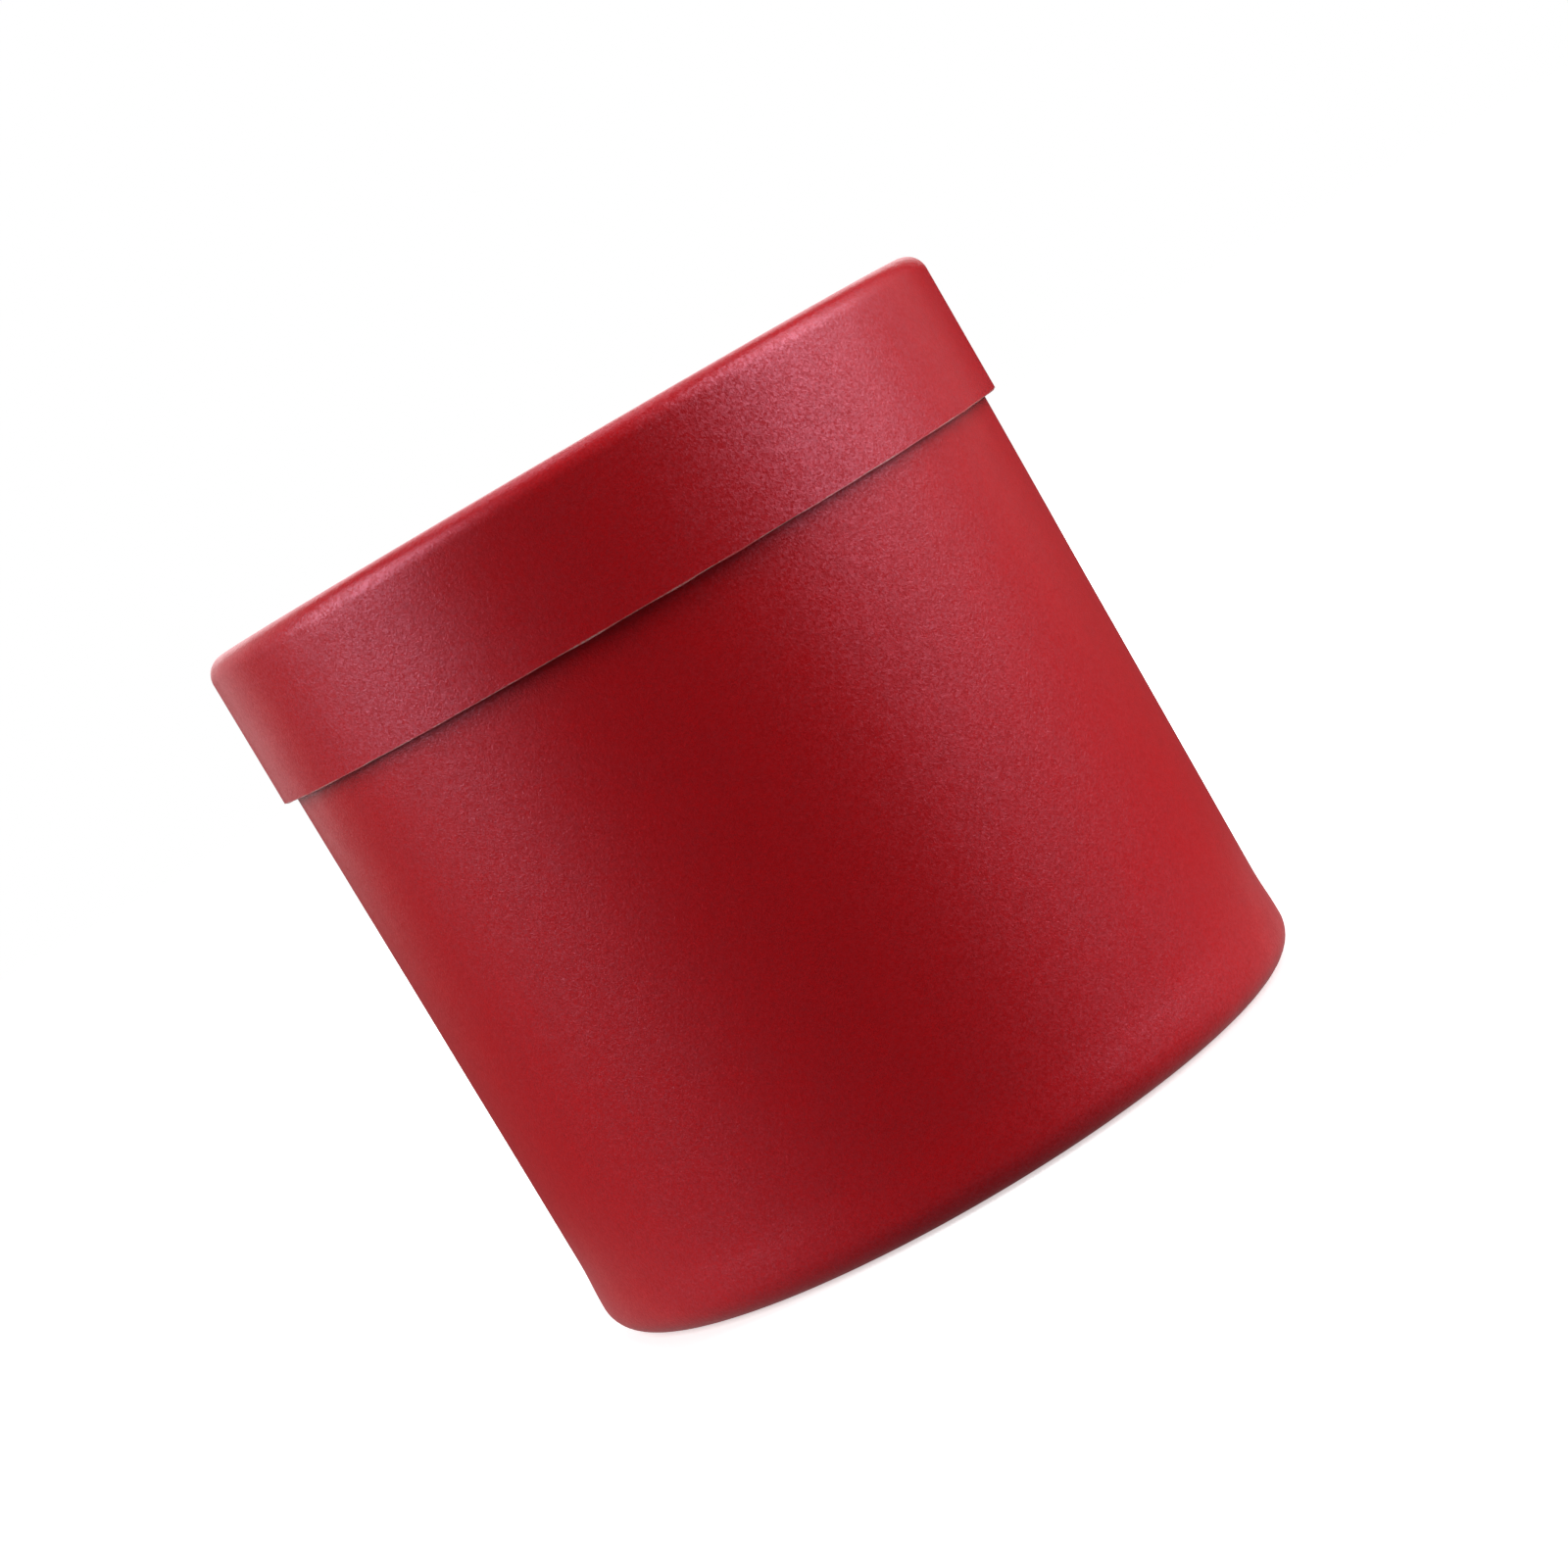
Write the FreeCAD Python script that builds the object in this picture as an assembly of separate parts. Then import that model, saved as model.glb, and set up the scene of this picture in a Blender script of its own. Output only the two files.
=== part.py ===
import FreeCAD, Part

import math
import os

# Round rigid box with a slip-over lid, in millimetres, standing on z = 0 with +Z up its axis.
# Walls and discs are greyboard, covered in paper. The body's foot and the lid's top edge are
# the wall itself, curled inwards into a rounded hollow bead whose leg ends on the disc.

# driving dimensions
OVERALL_HEIGHT = 120.0
LID_DIAMETER = 125.0
LID_HEIGHT = 24.0
LID_CLEARANCE = 0.35  # between the lid's inside and the body's outside, all round

BOARD = 1.2  # greyboard, both walls and discs
COVER = 0.2  # paper on the outside
LINING = 0.15  # paper on the inside

BODY_DRAFT = 0.6  # how much narrower the body's wall is above the foot than at its mouth
LID_CURL = 3.3  # outer radius of the lid's rounded top edge
LID_LAND = 0.8  # flat width along the crest of that edge
FOOT_CURL = 4.6  # outer radius of the body's rounded foot
FOOT_LAND = 1.2  # flat width along the foot, what the box stands on
FOOT_SWELL = 0.3  # how far the wall stands out again just above the foot
SWELL_HEIGHT = 8.0  # the height that it takes to do so
DISC_PLAY = 0.03  # between a disc's edge and the wall round it

# worked out from them
COVERED = COVER + BOARD
WALL = COVERED + LINING
LID_RADIUS = LID_DIAMETER / 2
MOUTH_RADIUS = LID_RADIUS - WALL - LID_CLEARANCE
FOOT_RADIUS = MOUTH_RADIUS - BODY_DRAFT + FOOT_SWELL
SKIRT_Z = OVERALL_HEIGHT - LID_HEIGHT
LID_DISC_TOP = OVERALL_HEIGHT - LID_CURL
MOUTH_Z = LID_DISC_TOP - WALL  # the body's mouth carries the lid's disc
FLOOR_Z = FOOT_CURL + WALL

LID_SHELL = {
    "cut_radius": LID_RADIUS,
    "cut_z": SKIRT_Z,
    "draft": 0.0,
    "crest_z": OVERALL_HEIGHT,
    "curl": LID_CURL,
    "land": LID_LAND,
    "swell": 0.0,
}
BODY_SHELL = {
    "cut_radius": MOUTH_RADIUS,
    "cut_z": MOUTH_Z,
    "draft": BODY_DRAFT,
    "crest_z": 0.0,
    "curl": FOOT_CURL,
    "land": FOOT_LAND,
    "swell": FOOT_SWELL,
}


def point(radius, height):
    return FreeCAD.Vector(radius, 0, height)


def arc(centre, radius, start, end):
    """An arc in the XZ plane, with its angles in degrees from the outward direction."""
    points = []
    for angle in (start, (start + end) / 2, end):
        turn = math.radians(angle)
        points.append(centre + point(radius * math.cos(turn), radius * math.sin(turn)))
    return Part.Arc(*points).toShape()


def swell_radius(swell):
    """The radius of the two equal arcs that carry a wall outwards by the swell."""
    return (SWELL_HEIGHT**2 + swell**2) / (4 * swell)


def shell_face(shell, depth):
    """The edges of one face of a curled wall, depth inside its outer face, from cut to leg."""
    way = 1 if shell["crest_z"] > shell["cut_z"] else -1
    wall = shell["cut_radius"] - shell["draft"]
    bulged = wall + shell["swell"]
    curl = shell["curl"]
    curl_z = shell["crest_z"] - way * curl
    outer_centre = point(bulged - curl, curl_z)
    inner_curl = curl - shell["land"]
    inner_centre = point(outer_centre.x - shell["land"], shell["crest_z"] - way * inner_curl)

    swell_z = curl_z - way * SWELL_HEIGHT if shell["swell"] else curl_z
    cut = point(shell["cut_radius"] - depth, shell["cut_z"])
    edges = [Part.makeLine(cut, point(wall - depth, swell_z))]
    if shell["swell"]:
        bend = swell_radius(shell["swell"])
        lean = way * math.degrees(math.asin(SWELL_HEIGHT / 2 / bend))
        edges.append(arc(point(wall + bend, swell_z), bend + depth, 180, 180 - lean))
        edges.append(arc(point(bulged - bend, curl_z), bend - depth, -lean, 0))
    edges.append(arc(outer_centre, curl - depth, 0, way * 90))
    crest_z = shell["crest_z"] - way * depth
    edges.append(Part.makeLine(point(outer_centre.x, crest_z), point(inner_centre.x, crest_z)))
    edges.append(arc(inner_centre, inner_curl - depth, way * 90, way * 180))
    leg = inner_centre.x - inner_curl + depth
    edges.append(Part.makeLine(point(leg, inner_centre.z), point(leg, curl_z)))
    return edges


def curled_layer(shell, outer_depth, inner_depth):
    """One layer of a curled wall, turned round the axis."""
    outer = shell_face(shell, outer_depth)
    inner = shell_face(shell, inner_depth)
    cut_edge = Part.makeLine(outer[0].Vertexes[0].Point, inner[0].Vertexes[0].Point)
    leg_end = Part.makeLine(outer[-1].Vertexes[-1].Point, inner[-1].Vertexes[-1].Point)
    outline = Part.Wire(Part.__sortEdges__(outer + inner + [cut_edge, leg_end]))
    return Part.Face(outline).revolve(FreeCAD.Vector(), FreeCAD.Vector(0, 0, 1), 360)


def wall_lining(shell, low, high):
    """The inside paper of a curled wall, only between two heights of its straight part."""
    span = Part.makeCylinder(shell["cut_radius"] + 10, high - low, point(0, low))
    return curled_layer(shell, COVERED, WALL).common(span)


def disc(radius, low, thickness):
    return Part.makeCylinder(radius, thickness, point(0, low))


def body_inside_radius(depth, height):
    """The radius of the body's wall, depth inside its outer face, just above the foot."""
    bend = swell_radius(FOOT_SWELL) - depth
    return FOOT_RADIUS - depth - bend + math.sqrt(bend**2 - (height - FOOT_CURL) ** 2)


def body_parts():
    board_z = FOOT_CURL + COVER
    lining_z = board_z + BOARD
    board_radius = body_inside_radius(COVERED, lining_z) - DISC_PLAY
    paper_radius = body_inside_radius(WALL, FLOOR_Z) - DISC_PLAY
    return {
        "body_tube": curled_layer(BODY_SHELL, COVER, COVERED),
        "body_wrap": curled_layer(BODY_SHELL, 0, COVER),
        "body_lining": wall_lining(BODY_SHELL, lining_z, MOUTH_Z),
        "body_bottom_board": disc(board_radius, board_z, BOARD),
        "body_bottom_paper": disc(board_radius, FOOT_CURL, COVER),
        "body_floor_paper": disc(paper_radius, lining_z, LINING),
    }


def lid_parts():
    board_radius = LID_RADIUS - COVERED - DISC_PLAY
    board_z = MOUTH_Z + LINING
    return {
        "lid_tube": curled_layer(LID_SHELL, COVER, COVERED),
        "lid_wrap": curled_layer(LID_SHELL, 0, COVER),
        "lid_lining": wall_lining(LID_SHELL, SKIRT_Z, board_z),
        "lid_top_board": disc(board_radius, board_z, BOARD),
        "lid_top_paper": disc(board_radius, board_z + BOARD, COVER),
        "lid_underside_paper": disc(board_radius - LINING, MOUTH_Z, LINING),
    }


os.makedirs("parts", exist_ok=True)
for name, solid in {**body_parts(), **lid_parts()}.items():
    if not solid.isValid() or len(solid.Solids) != 1:
        raise ValueError(name + " is not one valid solid")
    solid.Solids[0].exportStep("parts/" + name + ".step")
    print(name, round(solid.Volume), "mm3")
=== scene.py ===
import math

import bmesh
import bpy
from mathutils import Matrix, Vector, noise


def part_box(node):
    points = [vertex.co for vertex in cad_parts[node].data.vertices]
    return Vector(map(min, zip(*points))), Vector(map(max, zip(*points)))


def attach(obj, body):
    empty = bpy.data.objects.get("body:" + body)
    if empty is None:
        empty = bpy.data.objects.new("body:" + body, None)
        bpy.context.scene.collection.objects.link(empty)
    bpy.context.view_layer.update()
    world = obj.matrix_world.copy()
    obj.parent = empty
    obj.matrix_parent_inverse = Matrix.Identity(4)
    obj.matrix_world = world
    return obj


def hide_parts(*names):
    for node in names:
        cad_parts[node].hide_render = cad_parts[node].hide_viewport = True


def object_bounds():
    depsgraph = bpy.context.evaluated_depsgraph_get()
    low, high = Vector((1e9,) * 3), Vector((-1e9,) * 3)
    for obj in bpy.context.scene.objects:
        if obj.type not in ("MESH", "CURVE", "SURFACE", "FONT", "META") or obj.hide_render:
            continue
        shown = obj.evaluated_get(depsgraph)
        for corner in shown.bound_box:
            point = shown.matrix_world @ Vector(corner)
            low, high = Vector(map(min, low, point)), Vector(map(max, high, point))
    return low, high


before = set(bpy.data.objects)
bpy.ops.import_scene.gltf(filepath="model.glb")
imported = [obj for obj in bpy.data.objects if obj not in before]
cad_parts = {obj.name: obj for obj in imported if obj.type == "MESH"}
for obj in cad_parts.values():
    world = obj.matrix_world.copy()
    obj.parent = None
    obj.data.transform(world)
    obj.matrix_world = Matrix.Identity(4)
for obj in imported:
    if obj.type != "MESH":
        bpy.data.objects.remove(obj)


def mm(length):
    return length / 1000


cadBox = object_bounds()
lidLow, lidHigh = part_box("lid_wrap")
bodyLow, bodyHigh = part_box("body_wrap")
print("frame loaded")


# sizes that every layer shares

layers = {
    "cover": mm(0.2),  # pearl paper
    "board": mm(1.2),  # greyboard
    "lining": mm(0.15),  # white paper
    "air": mm(0.01),  # glue line between two sheets
}
lidShell = {
    "cutRadius": lidHigh.x,
    "draft": 0.0,
    "cut": lidLow.z,
    "crest": lidHigh.z,
    "curl": mm(3.3),
    "land": mm(0.8),
    "swell": 0.0,
}
bodyShell = {
    "cutRadius": bodyHigh.x,
    "draft": mm(0.6),
    "cut": bodyHigh.z,
    "crest": bodyLow.z,
    "curl": mm(4.6),
    "land": mm(1.2),
    "swell": mm(0.3),
}
turning = {
    "steps": 288,  # round the whole box
    "arcSteps": 12,  # in each quarter of a curled edge
    "wallStep": mm(3),  # up a straight wall
    "swellHeight": mm(8),
    "swellSteps": 5,  # in each half of the swell's bend
    "merge": mm(0.001),  # where a full turn closes on itself
    "sharp": 38,  # degrees
}


# shapes

def at(radius, height):
    return Vector((radius, 0, height))


def runTo(start, end, spacing):
    count = max(1, round((end - start).length / spacing))
    return [start.lerp(end, i / count) for i in range(1, count + 1)]


def arcPoints(centre, radius, start, end, steps):
    turns = [math.radians(start + (end - start) * i / steps) for i in range(1, steps + 1)]
    return [centre + at(radius * math.cos(t), radius * math.sin(t)) for t in turns]


def upOrDown(shell):
    return 1 if shell["crest"] > shell["cut"] else -1


def shellFace(shell, depth):
    # one face of a curled wall in section, from its cut edge over the curl to the end of its leg
    way = upOrDown(shell)
    wall = shell["cutRadius"] - shell["draft"]
    swell, curl, land = shell["swell"], shell["curl"], shell["land"]
    curlZ = shell["crest"] - way * curl
    swellZ = curlZ - way * turning["swellHeight"] if swell else curlZ
    quarter = turning["arcSteps"]

    points = [at(shell["cutRadius"] - depth, shell["cut"])]
    points += runTo(points[-1], at(wall - depth, swellZ), turning["wallStep"])
    if swell:
        # two arcs, one bending out and one back, so that the wall is upright again where it curls
        half = turning["swellSteps"]
        bend = (turning["swellHeight"] ** 2 + swell ** 2) / (4 * swell)
        lean = way * math.degrees(math.asin(turning["swellHeight"] / 2 / bend))
        points += arcPoints(at(wall + bend, swellZ), bend + depth, 180, 180 - lean, half)
        points += arcPoints(at(wall + swell - bend, curlZ), bend - depth, -lean, 0, half)
    outer = at(wall + swell - curl, curlZ)
    inner = at(outer.x - land, shell["crest"] - way * (curl - land))
    points += arcPoints(outer, curl - depth, 0, way * 90, quarter)
    points.append(at(inner.x, shell["crest"] - way * depth))
    points += arcPoints(inner, curl - land - depth, way * 90, way * 180, quarter)
    points.append(at(points[-1].x, curlZ))
    return points


def legRadius(shell):
    # where the curled edge's leg is, on the side that faces the axis
    return shell["cutRadius"] - shell["draft"] + shell["swell"] - 2 * shell["curl"]


def spun(points, closed, startAngle=0.0, angle=math.tau):
    # a section turned round the upright axis: a full turn is merged, a longer one is a wound sheet
    bm = bmesh.new()
    verts = [bm.verts.new(p) for p in points]
    ends = verts[1:] + verts[:1] if closed else verts[1:]
    edges = [bm.edges.new(pair) for pair in zip(verts, ends)]
    bmesh.ops.rotate(bm, verts=verts, cent=(0, 0, 0), matrix=Matrix.Rotation(startAngle, 3, "Z"))
    steps = round(turning["steps"] * angle / math.tau)
    whole = angle == math.tau
    bmesh.ops.spin(
        bm, geom=verts + edges, cent=(0, 0, 0), axis=(0, 0, 1), angle=angle, steps=steps, use_merge=whole
    )
    if whole:
        bmesh.ops.remove_doubles(bm, verts=bm.verts, dist=turning["merge"])
    bmesh.ops.recalc_face_normals(bm, faces=bm.faces)
    return bm


def windSheet(points, sheet, thickness):
    # a sheet wound once round from the back, its last few millimetres glued over its start
    overlap = sheet["overlap"] / points[0].x
    bm = spun(points, False, math.radians(sheet["seamAt"]), math.tau + overlap)
    bm.verts.index_update()
    bm.normal_update()
    fullTurn = turning["steps"]
    lapped = round(fullTurn * overlap / math.tau)
    for v in bm.verts:
        column, row = divmod(v.index, len(points))
        pressed = v.normal.z ** 2  # on the crest the sheet is drawn tight and its lap pressed flush
        step = noise.noise(v.co / sheet["slackSize"]) * sheet["slack"] * (1 - pressed)
        if column >= fullTurn:
            step += sheet["lift"] * (1 - pressed)
        elif column < lapped:
            step -= sheet["lift"] * pressed
        if row == 0:
            v.co.z += noise.noise(v.co / sheet["cutSize"]) * sheet["cutWander"]
        v.co += v.normal * step
    bm.normal_update()
    bmesh.ops.solidify(bm, geom=bm.faces[:], thickness=thickness)
    return bm


def finishPiece(bm, name, body, slot, material, *nodes):
    mesh = bpy.data.meshes.new(name)
    bm.to_mesh(mesh)
    bm.free()
    mesh.shade_smooth()
    mesh.set_sharp_from_angle(angle=math.radians(turning["sharp"]))
    mesh.materials.append(material)
    piece = bpy.data.objects.new(name, mesh)
    bpy.context.scene.collection.objects.link(piece)
    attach(piece, body)
    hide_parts(*nodes)
    return piece


# materials

def colour(code):
    parts = [int(code[i:i + 2], 16) / 255 for i in (1, 3, 5)]
    return (*[p / 12.92 if p <= 0.04045 else ((p + 0.055) / 1.055) ** 2.4 for p in parts], 1.0)


def addNode(tree, kind, inputs=None, **settings):
    # an input is a value, a socket, or a node whose first live output is meant
    node = tree.nodes.new("ShaderNode" + kind)
    for name, value in settings.items():
        setattr(node, name, value)
    for socket, value in (inputs or {}).items():
        if isinstance(value, bpy.types.Node):
            value = next(output for output in value.outputs if output.enabled)
        if isinstance(value, bpy.types.NodeSocket):
            tree.links.new(value, node.inputs[socket])
        else:
            node.inputs[socket].default_value = value
    return node


def newMaterial(name):
    material = bpy.data.materials.new(name)
    material.use_nodes = True
    material.node_tree.nodes.clear()
    return material, material.node_tree


def patternScale(millimetres):
    return 1000 / millimetres  # Object coordinates are metres


noiseRange = {"From Min": 0.3, "From Max": 0.7}  # nearly all of a noise texture's values lie here

pearlPaper = {
    "red": "#C21319",
    "shade": "#BB1218",
    "mottle": 6.0,  # mm, cloudy unevenness of the coating
    "mottleDetail": 4.0,
    "flake": 0.34,  # mm; mica is 0.05 to 0.15 mm, drawn coarser so that it shows
    "flakeTilt": 0.06,
    "speckle": 0.06,  # how much lighter or darker one spot of the coating is
    "tooth": 0.42,  # mm, the paper's own texture under the coating
    "toothDetail": 1.5,
    "toothDepth": 0.045,  # mm
    "smooth": 0.33,  # roughness where the coating is thick
    "rough": 0.39,  # and where it is thin
    "index": 1.8,  # mica coated with oxide bends light more than bare paper
    "dimMica": "#A26E80",  # its rosy sheen, where a spot holds least of it
    "fullMica": "#F8ABC6",
}
bareFibre = {
    "core": "#B98F8B",  # the paper under its coating
    "cutBand": 0.2,  # mm of bared fibre beside a cut edge
    "fuzz": {"From Min": 0.35, "From Max": 0.6, "To Min": 0.35, "To Max": 0.9},
    "breaks": {"From Min": 0.4, "From Max": 0.6, "To Min": 0.3, "To Max": 1.0},
    "wearBand": 0.8,  # mm of the foot that rubs on the table
    "scuff": 1.2,  # mm, one rubbed spot
    "scuffDetail": 6.0,
    "scuffs": {"From Min": 0.56, "From Max": 0.68},
}


def makePearlPaper(name, sheen, cutZ=None, footZ=None):
    # pearlescent wrapping paper, satin red with fine mica: its sheen is wide, rosy and grainy
    material, tree = newMaterial(name)
    place = addNode(tree, "TexCoord").outputs["Object"]
    height = addNode(tree, "SeparateXYZ", {"Vector": place}).outputs["Z"]
    cloud = {"Scale": patternScale(pearlPaper["mottle"]), "Detail": pearlPaper["mottleDetail"]}
    cloud = addNode(tree, "TexNoise", {"Vector": place, **cloud})
    tooth = {"Scale": patternScale(pearlPaper["tooth"]), "Detail": pearlPaper["toothDetail"]}
    tooth = addNode(tree, "TexNoise", {"Vector": place, **tooth, "Distortion": 1.0})
    flakes = addNode(tree, "TexVoronoi", {"Vector": place, "Scale": patternScale(pearlPaper["flake"])})
    chance = addNode(tree, "SeparateColor", {"Color": flakes.outputs["Color"]})
    cloudy = addNode(tree, "MapRange", {"Value": cloud, **noiseRange})

    tones = {0: cloudy, 6: colour(pearlPaper["shade"]), 7: colour(pearlPaper["red"])}
    red = addNode(tree, "Mix", tones, data_type="RGBA")
    spots = {"To Min": 1 - pearlPaper["speckle"], "To Max": 1 + pearlPaper["speckle"]}
    speckled = addNode(tree, "MapRange", {"Value": chance.outputs["Green"], **spots})
    red = addNode(tree, "VectorMath", {0: red, "Scale": speckled}, operation="SCALE")
    core = colour(bareFibre["core"])
    if cutZ is not None:
        # bared fibre in a thin broken line along the cut
        band = mm(bareFibre["cutBand"])
        away = addNode(tree, "Math", {0: height, 1: cutZ}, operation="SUBTRACT")
        away = addNode(tree, "Math", {0: away}, operation="ABSOLUTE")
        bare = addNode(tree, "MapRange", {"Value": away, "From Min": band, "From Max": band / 2})
        fuzz = addNode(tree, "MapRange", {"Value": tooth, **bareFibre["fuzz"]})
        bare = addNode(tree, "Math", {0: bare, 1: fuzz}, operation="MULTIPLY")
        breaks = addNode(tree, "MapRange", {"Value": cloud, **bareFibre["breaks"]})
        bare = addNode(tree, "Math", {0: bare, 1: breaks}, operation="MULTIPLY")
        red = addNode(tree, "Mix", {0: bare, 6: red, 7: core}, data_type="RGBA")
    if footZ is not None:
        # small rubbed spots where the foot meets the table
        reach = {"From Min": footZ + mm(bareFibre["wearBand"]), "From Max": footZ}
        rubbed = addNode(tree, "MapRange", {"Value": height, **reach})
        scuffs = {"Scale": patternScale(bareFibre["scuff"]), "Detail": bareFibre["scuffDetail"]}
        scuffs = addNode(tree, "TexNoise", {"Vector": place, **scuffs})
        scuffs = addNode(tree, "MapRange", {"Value": scuffs, **bareFibre["scuffs"]})
        rubbed = addNode(tree, "Math", {0: rubbed, 1: scuffs}, operation="MULTIPLY")
        red = addNode(tree, "Mix", {0: rubbed, 6: red, 7: core}, data_type="RGBA")

    # a spot of the coating holds more or less mica, and each flake lies a little askew
    shares = {0: chance, 6: colour(pearlPaper["dimMica"]), 7: colour(pearlPaper["fullMica"])}
    mica = addNode(tree, "Mix", shares, data_type="RGBA")
    average = (0.5, 0.5, 0.5)  # of all the cells' colours, so that the flakes lean every way
    tilt = addNode(tree, "VectorMath", {0: flakes.outputs["Color"], 1: average}, operation="SUBTRACT")
    tilt = addNode(tree, "VectorMath", {0: tilt, "Scale": pearlPaper["flakeTilt"]}, operation="SCALE")
    facing = addNode(tree, "NewGeometry").outputs["Normal"]
    askew = addNode(tree, "VectorMath", {0: facing, 1: tilt}, operation="ADD")
    askew = addNode(tree, "VectorMath", {0: askew}, operation="NORMALIZE")
    relief = {"Height": tooth, "Strength": 1.0, "Distance": mm(pearlPaper["toothDepth"])}
    gloss = {"Value": cloudy, "To Min": pearlPaper["rough"], "To Max": pearlPaper["smooth"]}
    surface = {
        "Base Color": red,
        "Roughness": addNode(tree, "MapRange", gloss),
        "IOR": pearlPaper["index"],
        "Specular IOR Level": sheen,
        "Specular Tint": mica,
        "Normal": addNode(tree, "Bump", {**relief, "Normal": askew}),
    }
    addNode(tree, "OutputMaterial", {"Surface": addNode(tree, "BsdfPrincipled", surface)})
    return material


# uncoated offset paper: matt, near white, a faint cloudiness from its fibres
liningPaper = {
    "light": "#F2EFEC",
    "shade": "#EFECE8",
    "cloud": 3.5,  # mm
    "cloudDetail": 5.0,
    "fibre": 0.7,  # mm
    "fibreDetail": 6.0,
    "fibreDepth": 0.04,  # mm
    "relief": 0.4,
    "roughness": 0.85,
}
# greyboard pressed from waste paper: dull grey-brown with darker fibre flecks
greyboard = {
    "light": "#A79D90",
    "shade": "#8F867A",
    "cloud": 4.0,  # mm
    "cloudDetail": 3.0,
    "fibre": 0.6,  # mm
    "fibreDetail": 6.0,
    "fibreDepth": 0.08,  # mm
    "fleck": "#6E665C",
    "flecks": {"From Min": 0.42, "From Max": 0.3, "To Max": 0.8},
    "relief": 0.7,
    "roughness": 0.92,
}


def makeFibreSheet(name, kind):
    # a matt sheet of pressed fibre in two cloudy tones, with or without darker flecks
    material, tree = newMaterial(name)
    place = addNode(tree, "TexCoord").outputs["Object"]
    cloud = {"Scale": patternScale(kind["cloud"]), "Detail": kind["cloudDetail"]}
    cloud = addNode(tree, "TexNoise", {"Vector": place, **cloud})
    cloudy = addNode(tree, "MapRange", {"Value": cloud, **noiseRange})
    fibre = {"Scale": patternScale(kind["fibre"]), "Detail": kind["fibreDetail"]}
    fibre = addNode(tree, "TexNoise", {"Vector": place, **fibre})
    tones = {0: cloudy, 6: colour(kind["shade"]), 7: colour(kind["light"])}
    tone = addNode(tree, "Mix", tones, data_type="RGBA")
    if "fleck" in kind:
        flecks = addNode(tree, "MapRange", {"Value": fibre, **kind["flecks"]})
        tone = addNode(tree, "Mix", {0: flecks, 6: tone, 7: colour(kind["fleck"])}, data_type="RGBA")
    relief = {"Height": fibre, "Strength": kind["relief"], "Distance": mm(kind["fibreDepth"])}
    surface = {
        "Base Color": tone,
        "Roughness": kind["roughness"],
        "IOR": 1.5,
        "Normal": addNode(tree, "Bump", relief),
    }
    addNode(tree, "OutputMaterial", {"Surface": addNode(tree, "BsdfPrincipled", surface)})
    return material


sheens = {"lid": 0.8, "body": 0.57, "disc": 0.57}  # how strongly each red paper reflects
lidPaper = makePearlPaper("pearlescentPaperLid", sheens["lid"], cutZ=lidShell["cut"])
bodyPaper = makePearlPaper("pearlescentPaperBody", sheens["body"], bodyShell["cut"], bodyShell["crest"])
discPaper = makePearlPaper("pearlescentPaperDisc", sheens["disc"])
whitePaper = makeFibreSheet("uncoatedLiningPaper", liningPaper)
board = makeFibreSheet("greyboard", greyboard)
print("materials made")


# the red paper round the walls

redWrap = {
    "overlap": mm(8),
    "lift": layers["cover"] + layers["air"],
    "slack": mm(0.03),
    "slackSize": mm(17),
    "cutWander": mm(0.16),
    "cutSize": mm(6),
}


def makeWrap(name, body, shell, seamAt, paper, node):
    sheet = {**redWrap, "seamAt": seamAt}
    bm = windSheet(shellFace(shell, 0), sheet, layers["cover"])
    return finishPiece(bm, name, body, "pearl_paper", paper, node)


# each lap is at the back, its bearing in degrees from the right-hand side
makeWrap("lid_wrap_paper", "lid", lidShell, 84, lidPaper, "lid_wrap")
makeWrap("body_wrap_paper", "box_body", bodyShell, 97, bodyPaper, "body_wrap")
print("wraps made")


# the white paper inside the walls

whiteLining = {
    "overlap": mm(10),
    "lift": -(layers["lining"] + layers["air"]),
    "slack": mm(0.02),
    "slackSize": mm(14),
    "cutWander": mm(0.1),
    "cutSize": mm(7),
    "curlStart": mm(2),  # further in than this the face belongs to the curl
}


def makeLining(name, body, shell, seamAt, stopZ, node):
    way = upOrDown(shell)
    face = shellFace(shell, layers["cover"] + layers["board"])
    curlX = face[0].x - whiteLining["curlStart"]
    points = [p for p in face if (stopZ - p.z) * way > 0 and p.x > curlX]
    points.append(at(points[-1].x, stopZ))
    bm = windSheet(points, {**whiteLining, "seamAt": seamAt}, layers["lining"])
    return finishPiece(bm, name, body, "lining_paper", whitePaper, node)


makeLining("lid_lining_paper", "lid", lidShell, 70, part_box("lid_lining")[1].z, "lid_lining")
makeLining("body_lining_paper", "box_body", bodyShell, 110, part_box("body_lining")[0].z, "body_lining")
print("linings made")


# the greyboard walls, whose plies show at the cut edge

wallBoard = {
    "plies": 3,
    "groove": mm(0.05),
    "corner": mm(0.03),
    "plyShape": ((0.08, 0.012), (0.3, 0.004), (0.7, 0.004), (0.92, 0.012)),  # share across, mm down
}


def plyRim(outer, inner, way):
    # from the outer corner of a cut edge to the inner one: each ply stands a little proud of its glue lines
    across = inner - outer
    rim = []
    for ply in range(wallBoard["plies"]):
        for share, sink in wallBoard["plyShape"]:
            rim.append(outer + across * (ply + share) / wallBoard["plies"] + at(0, way * mm(sink)))
        if ply < wallBoard["plies"] - 1:
            rim.append(outer + across * (ply + 1) / wallBoard["plies"] + at(0, way * wallBoard["groove"]))
    return rim


def makeTube(name, body, shell, node):
    way = upOrDown(shell)
    outer = shellFace(shell, layers["cover"])
    inner = shellFace(shell, layers["cover"] + layers["board"])
    rim = plyRim(outer[0], inner[0], way)
    outer[0] += at(0, way * wallBoard["corner"])
    inner[0] += at(0, way * wallBoard["corner"])
    bm = spun(outer[::-1] + rim + inner, True)
    return finishPiece(bm, name, body, "greyboard", board, node)


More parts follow.
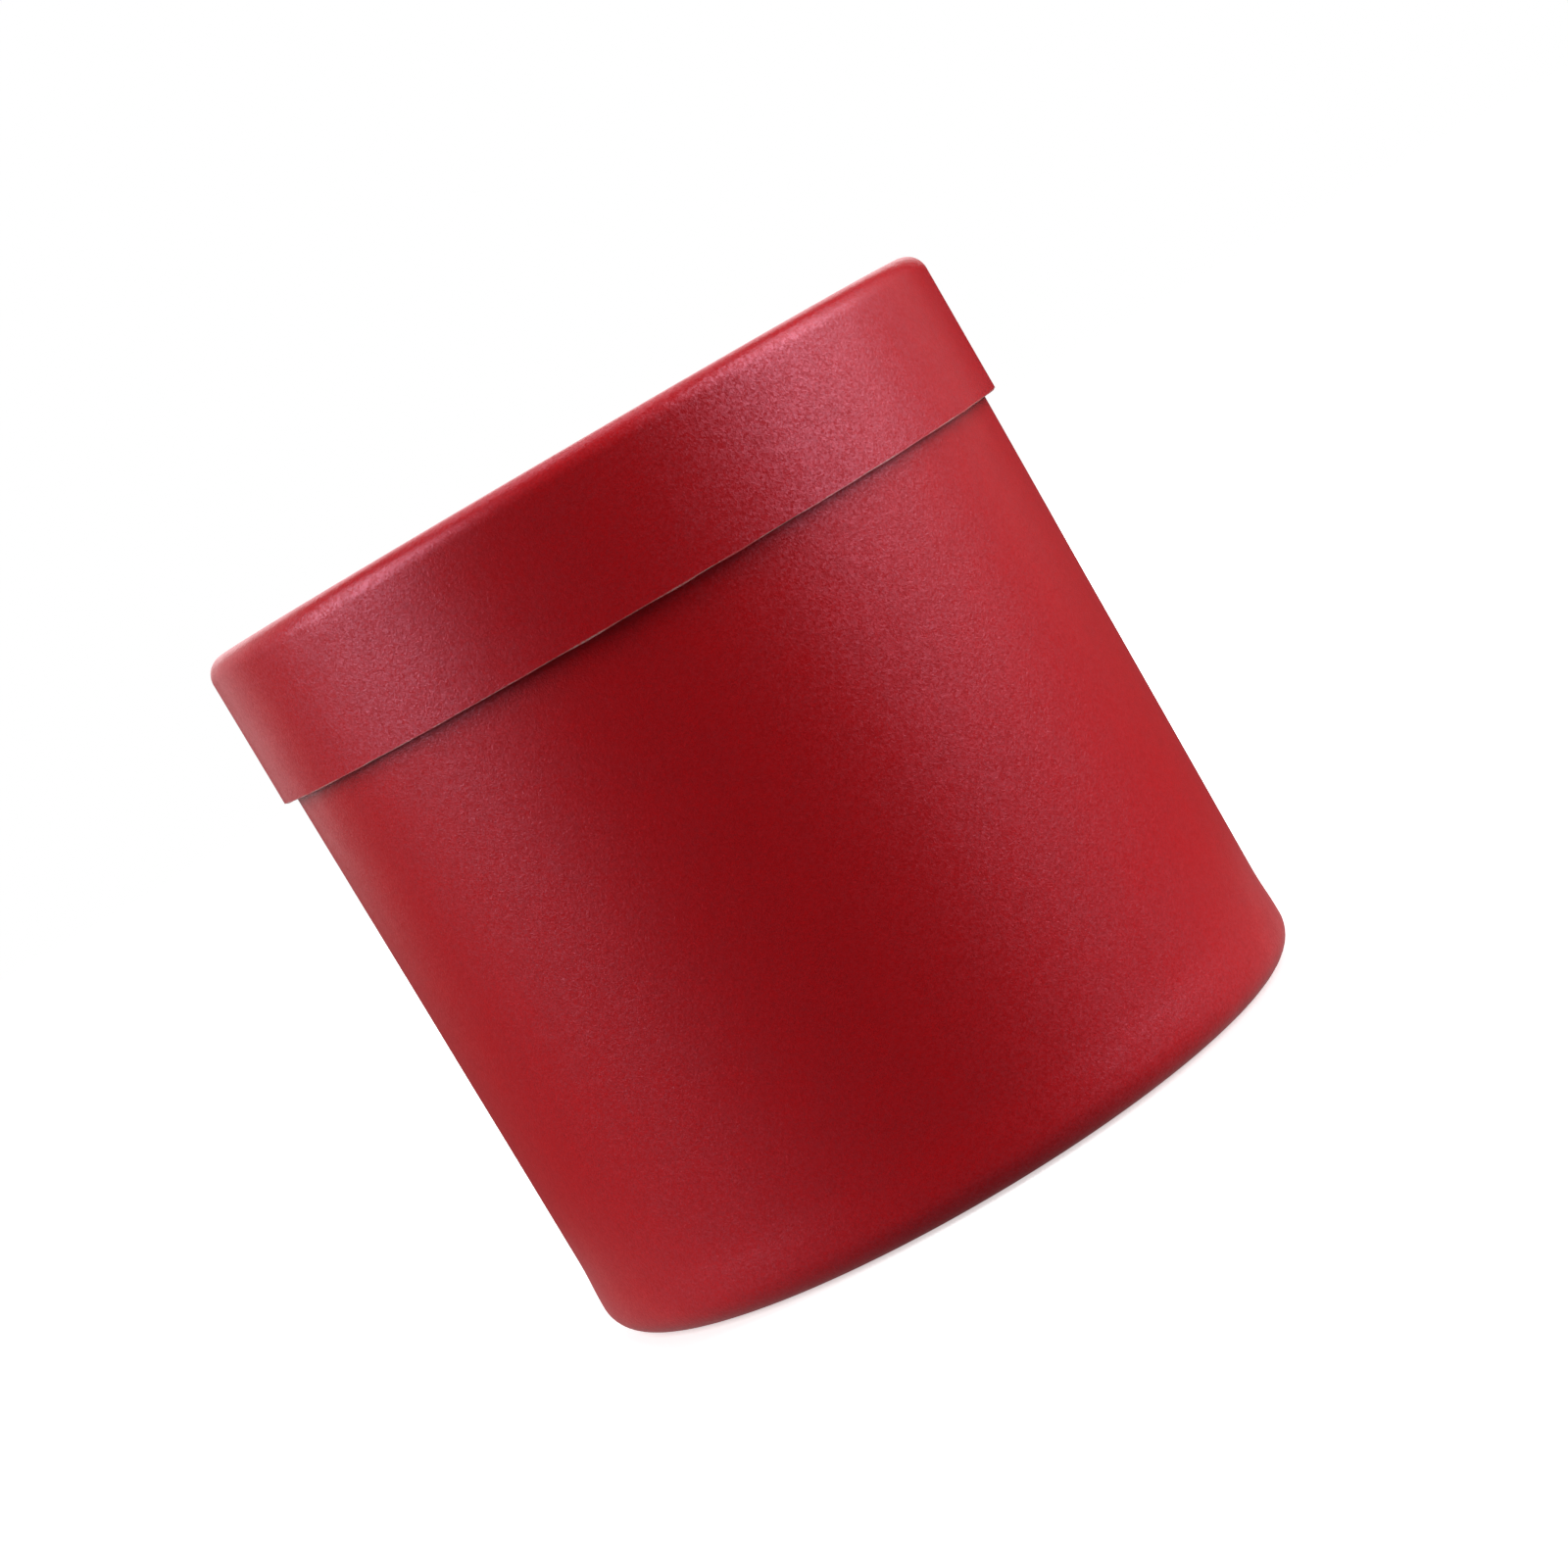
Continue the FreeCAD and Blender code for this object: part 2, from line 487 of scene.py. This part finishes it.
makeTube("lid_tube_board", "lid", lidShell, "lid_tube")
makeTube("body_tube_board", "box_body", bodyShell, "body_tube")
print("tubes made")


# the flat papers on the two discs

discSheet = {
    "ringStep": mm(4),
    "rim": mm(2),
    "ripple": mm(0.03),
    "rippleSize": mm(22),
    "crease": mm(0.09),
    "creaseWidth": mm(0.5),
    "creaseWidths": 3,  # from where it begins to the leg
    "creaseShape": ((2, 0.1), (1, 0.55), (0, 1.0), (-1, 1.0)),  # widths from the leg, share of its depth
}


def makeDisc(name, body, node, slot, paper, faceUp, creaseAt=None):
    low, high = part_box(node)
    face, back = (high.z, low.z) if faceUp else (low.z, high.z)
    into = -1 if faceUp else 1
    crease, width = discSheet["crease"], discSheet["creaseWidth"]
    flatTo = creaseAt - discSheet["creaseWidths"] * width if creaseAt else high.x - discSheet["rim"]
    points = [at(0, face)]
    points += runTo(points[-1], at(flatTo, face), discSheet["ringStep"])
    if creaseAt:
        # pressed into the corner where it meets the curled edge's leg
        for widths, share in discSheet["creaseShape"]:
            points.append(at(creaseAt - widths * width, face + into * crease * share))
    points += [at(high.x, points[-1].z), at(high.x, back), at(0, back)]
    bm = spun(points, False)
    for v in bm.verts:
        v.co.z += noise.noise(Vector((v.co.x, v.co.y, face)) / discSheet["rippleSize"]) * discSheet["ripple"]
    return finishPiece(bm, name, body, slot, paper, node)


lidLeg, footLeg = legRadius(lidShell), legRadius(bodyShell)
makeDisc("lid_top_paper_disc", "lid", "lid_top_paper", "pearl_paper", discPaper, True, lidLeg)
makeDisc("body_bottom_paper_disc", "box_body", "body_bottom_paper", "pearl_paper", discPaper, False, footLeg)
makeDisc("body_floor_paper_disc", "box_body", "body_floor_paper", "lining_paper", whitePaper, True)
makeDisc("lid_underside_paper_disc", "lid", "lid_underside_paper", "lining_paper", whitePaper, False)

for node in ("lid_top_board", "body_bottom_board"):
    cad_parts[node].data.materials.clear()
    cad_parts[node].data.materials.append(board)
print("discs made")


# the white floor: it throws only a little light back up on to the box, most of it close by and at the sides

floorSheet = {"radius": 3.0, "segments": 96, "gap": mm(0.1), "paper": "#F4F4F4"}  # the gap is below the foot
# the floor's painted glow, in place of lamp light: weak near the box, where the lamps light it and cast its
# shadow, full far away
paintedFloorGlow = {"From Min": 0.09, "From Max": 0.45, "To Min": 0.55, "To Max": 1.0}
bounceAside = {"From Min": 0.01, "From Max": 0.06, "To Min": 0.18, "To Max": 0.36}
bounceAway = {"From Min": 0.07, "From Max": 0.16, "To Min": 1.0, "To Max": 0.22}


def makeFloorMaterial():
    # seamless paper sweep: matt white lit by the lamps, plus a painted glow of its own that is brighter away
    # from the box, so the far floor shows as white as the lamp-lit floor near it; clear from below
    material, tree = newMaterial("whiteSweep")
    white = colour("#FFFFFF")
    place = addNode(tree, "TexCoord").outputs["Object"]
    distance = addNode(tree, "VectorMath", {0: place}, operation="LENGTH")
    glow = addNode(tree, "MapRange", {"Value": distance, **paintedFloorGlow})
    lit = addNode(tree, "BsdfDiffuse", {"Color": colour(floorSheet["paper"])})
    # painted light: the floor glows by itself, by distance from the box
    paintedGlow = addNode(tree, "Emission", {"Color": white, "Strength": glow})
    shown = addNode(tree, "AddShader", {0: lit, 1: paintedGlow})

    aside = addNode(tree, "SeparateXYZ", {"Vector": place}).outputs["X"]
    aside = addNode(tree, "Math", {0: aside}, operation="ABSOLUTE")
    aside = addNode(tree, "MapRange", {"Value": aside, **bounceAside})
    fade = addNode(tree, "MapRange", {"Value": distance, **bounceAway})
    thrown = addNode(tree, "Math", {0: aside, 1: fade}, operation="MULTIPLY")
    bounce = addNode(tree, "Emission", {"Color": white, "Strength": thrown})

    seen = addNode(tree, "LightPath").outputs["Is Camera Ray"]
    above = addNode(tree, "MixShader", {0: seen, 1: bounce, 2: shown})
    under = addNode(tree, "NewGeometry").outputs["Backfacing"]
    clear = addNode(tree, "BsdfTransparent")
    addNode(tree, "OutputMaterial", {"Surface": addNode(tree, "MixShader", {0: under, 1: above, 2: clear})})
    return material


def makeFloor():
    bm = bmesh.new()
    segments, radius = floorSheet["segments"], floorSheet["radius"]
    place = Matrix.Translation((0, 0, -floorSheet["gap"]))
    bmesh.ops.create_circle(bm, cap_ends=True, segments=segments, radius=radius, matrix=place)
    mesh = bpy.data.meshes.new("studioFloor")
    bm.to_mesh(mesh)
    bm.free()
    mesh.materials.append(makeFloorMaterial())
    floor = bpy.data.objects.new("studioFloor", mesh)
    bpy.context.scene.collection.objects.link(floor)
    floor.visible_shadow = False


backdrop = {"seen": 1.0, "thrown": 0.004}  # its strength to the eye, and as light on the box


def makeWorld():
    world = bpy.data.worlds.new("paleStudio")
    world.use_nodes = True
    tree = world.node_tree
    tree.nodes.clear()
    dim = addNode(tree, "Background", {"Color": colour("#FFFFFF"), "Strength": backdrop["thrown"]})
    white = addNode(tree, "Background", {"Color": colour("#FFFFFF"), "Strength": backdrop["seen"]})
    seen = addNode(tree, "LightPath").outputs["Is Camera Ray"]
    addNode(tree, "OutputWorld", {"Surface": addNode(tree, "MixShader", {0: seen, 1: dim, 2: white})})
    bpy.context.scene.world = world


makeFloor()
makeWorld()


# softboxes, each by its bearing from the front, its height and its width and height in metres

softboxes = {
    "left": {"bearing": -71, "rise": 32, "size": (0.7, 0.9), "power": 7.6},
    "leftLow": {"bearing": -80, "rise": 4, "size": (0.9, 0.7), "power": 1.4},
    "right": {"bearing": 77, "rise": 32, "size": (0.8, 0.9), "power": 7.9},
    "rightLow": {"bearing": 71, "rise": 8, "size": (1.0, 0.8), "power": 3.9},
    "backLeft": {"bearing": -140, "rise": 20, "size": (0.6, 0.8), "power": 1.1},
    "backRight": {"bearing": 120, "rise": 15, "size": (0.5, 0.9), "power": 0.7},
    "back": {"bearing": 180, "rise": 27, "size": (0.8, 0.8), "power": 4.0},
    "top": {"bearing": 180, "rise": 75, "size": (0.6, 0.6), "power": 1.9},
}
softboxDistance = 1.0
aim = (cadBox[0] + cadBox[1]) / 2


def makeSoftbox(name, box):
    light = bpy.data.lights.new(name, "AREA")
    light.shape = "RECTANGLE"
    light.size, light.size_y = box["size"]
    light.energy = box["power"]
    lamp = bpy.data.objects.new(name, light)
    bpy.context.scene.collection.objects.link(lamp)
    bearing, rise = math.radians(box["bearing"]), math.radians(box["rise"])
    away = Vector((math.sin(bearing) * math.cos(rise), -math.cos(bearing) * math.cos(rise), math.sin(rise)))
    lamp.location = aim + away * softboxDistance
    lamp.rotation_euler = away.to_track_quat("Z", "Y").to_euler()
    lamp.visible_camera = False


for name, box in softboxes.items():
    makeSoftbox(name, box)
print("studio set")


# the camera, rolled so that the box leans back to the left

cameraSet = {
    "distance": 0.57484,
    "height": 0.11299,
    "pitch": 5.299,  # degrees, as are the next two
    "yaw": 0.437,
    "roll": 30.36,
    "lens": 86.31,  # mm, as is the sensor's width
    "sensor": 36,
    "clip": (0.01, 20),
}


def makeCamera():
    data = bpy.data.cameras.new("camera")
    data.lens = cameraSet["lens"]
    data.sensor_width = cameraSet["sensor"]
    data.clip_start, data.clip_end = cameraSet["clip"]
    camera = bpy.data.objects.new("camera", data)
    bpy.context.scene.collection.objects.link(camera)
    turns = [("Z", -cameraSet["yaw"]), ("X", 90 - cameraSet["pitch"]), ("Z", -cameraSet["roll"])]
    matrix = Matrix.Translation((0, -cameraSet["distance"], cameraSet["height"]))
    for axis, angle in turns:
        matrix = matrix @ Matrix.Rotation(math.radians(angle), 4, axis)
    camera.matrix_world = matrix
    bpy.context.scene.camera = camera


makeCamera()
bpy.context.scene.view_settings.view_transform = "Standard"
bpy.context.scene.view_settings.look = "None"
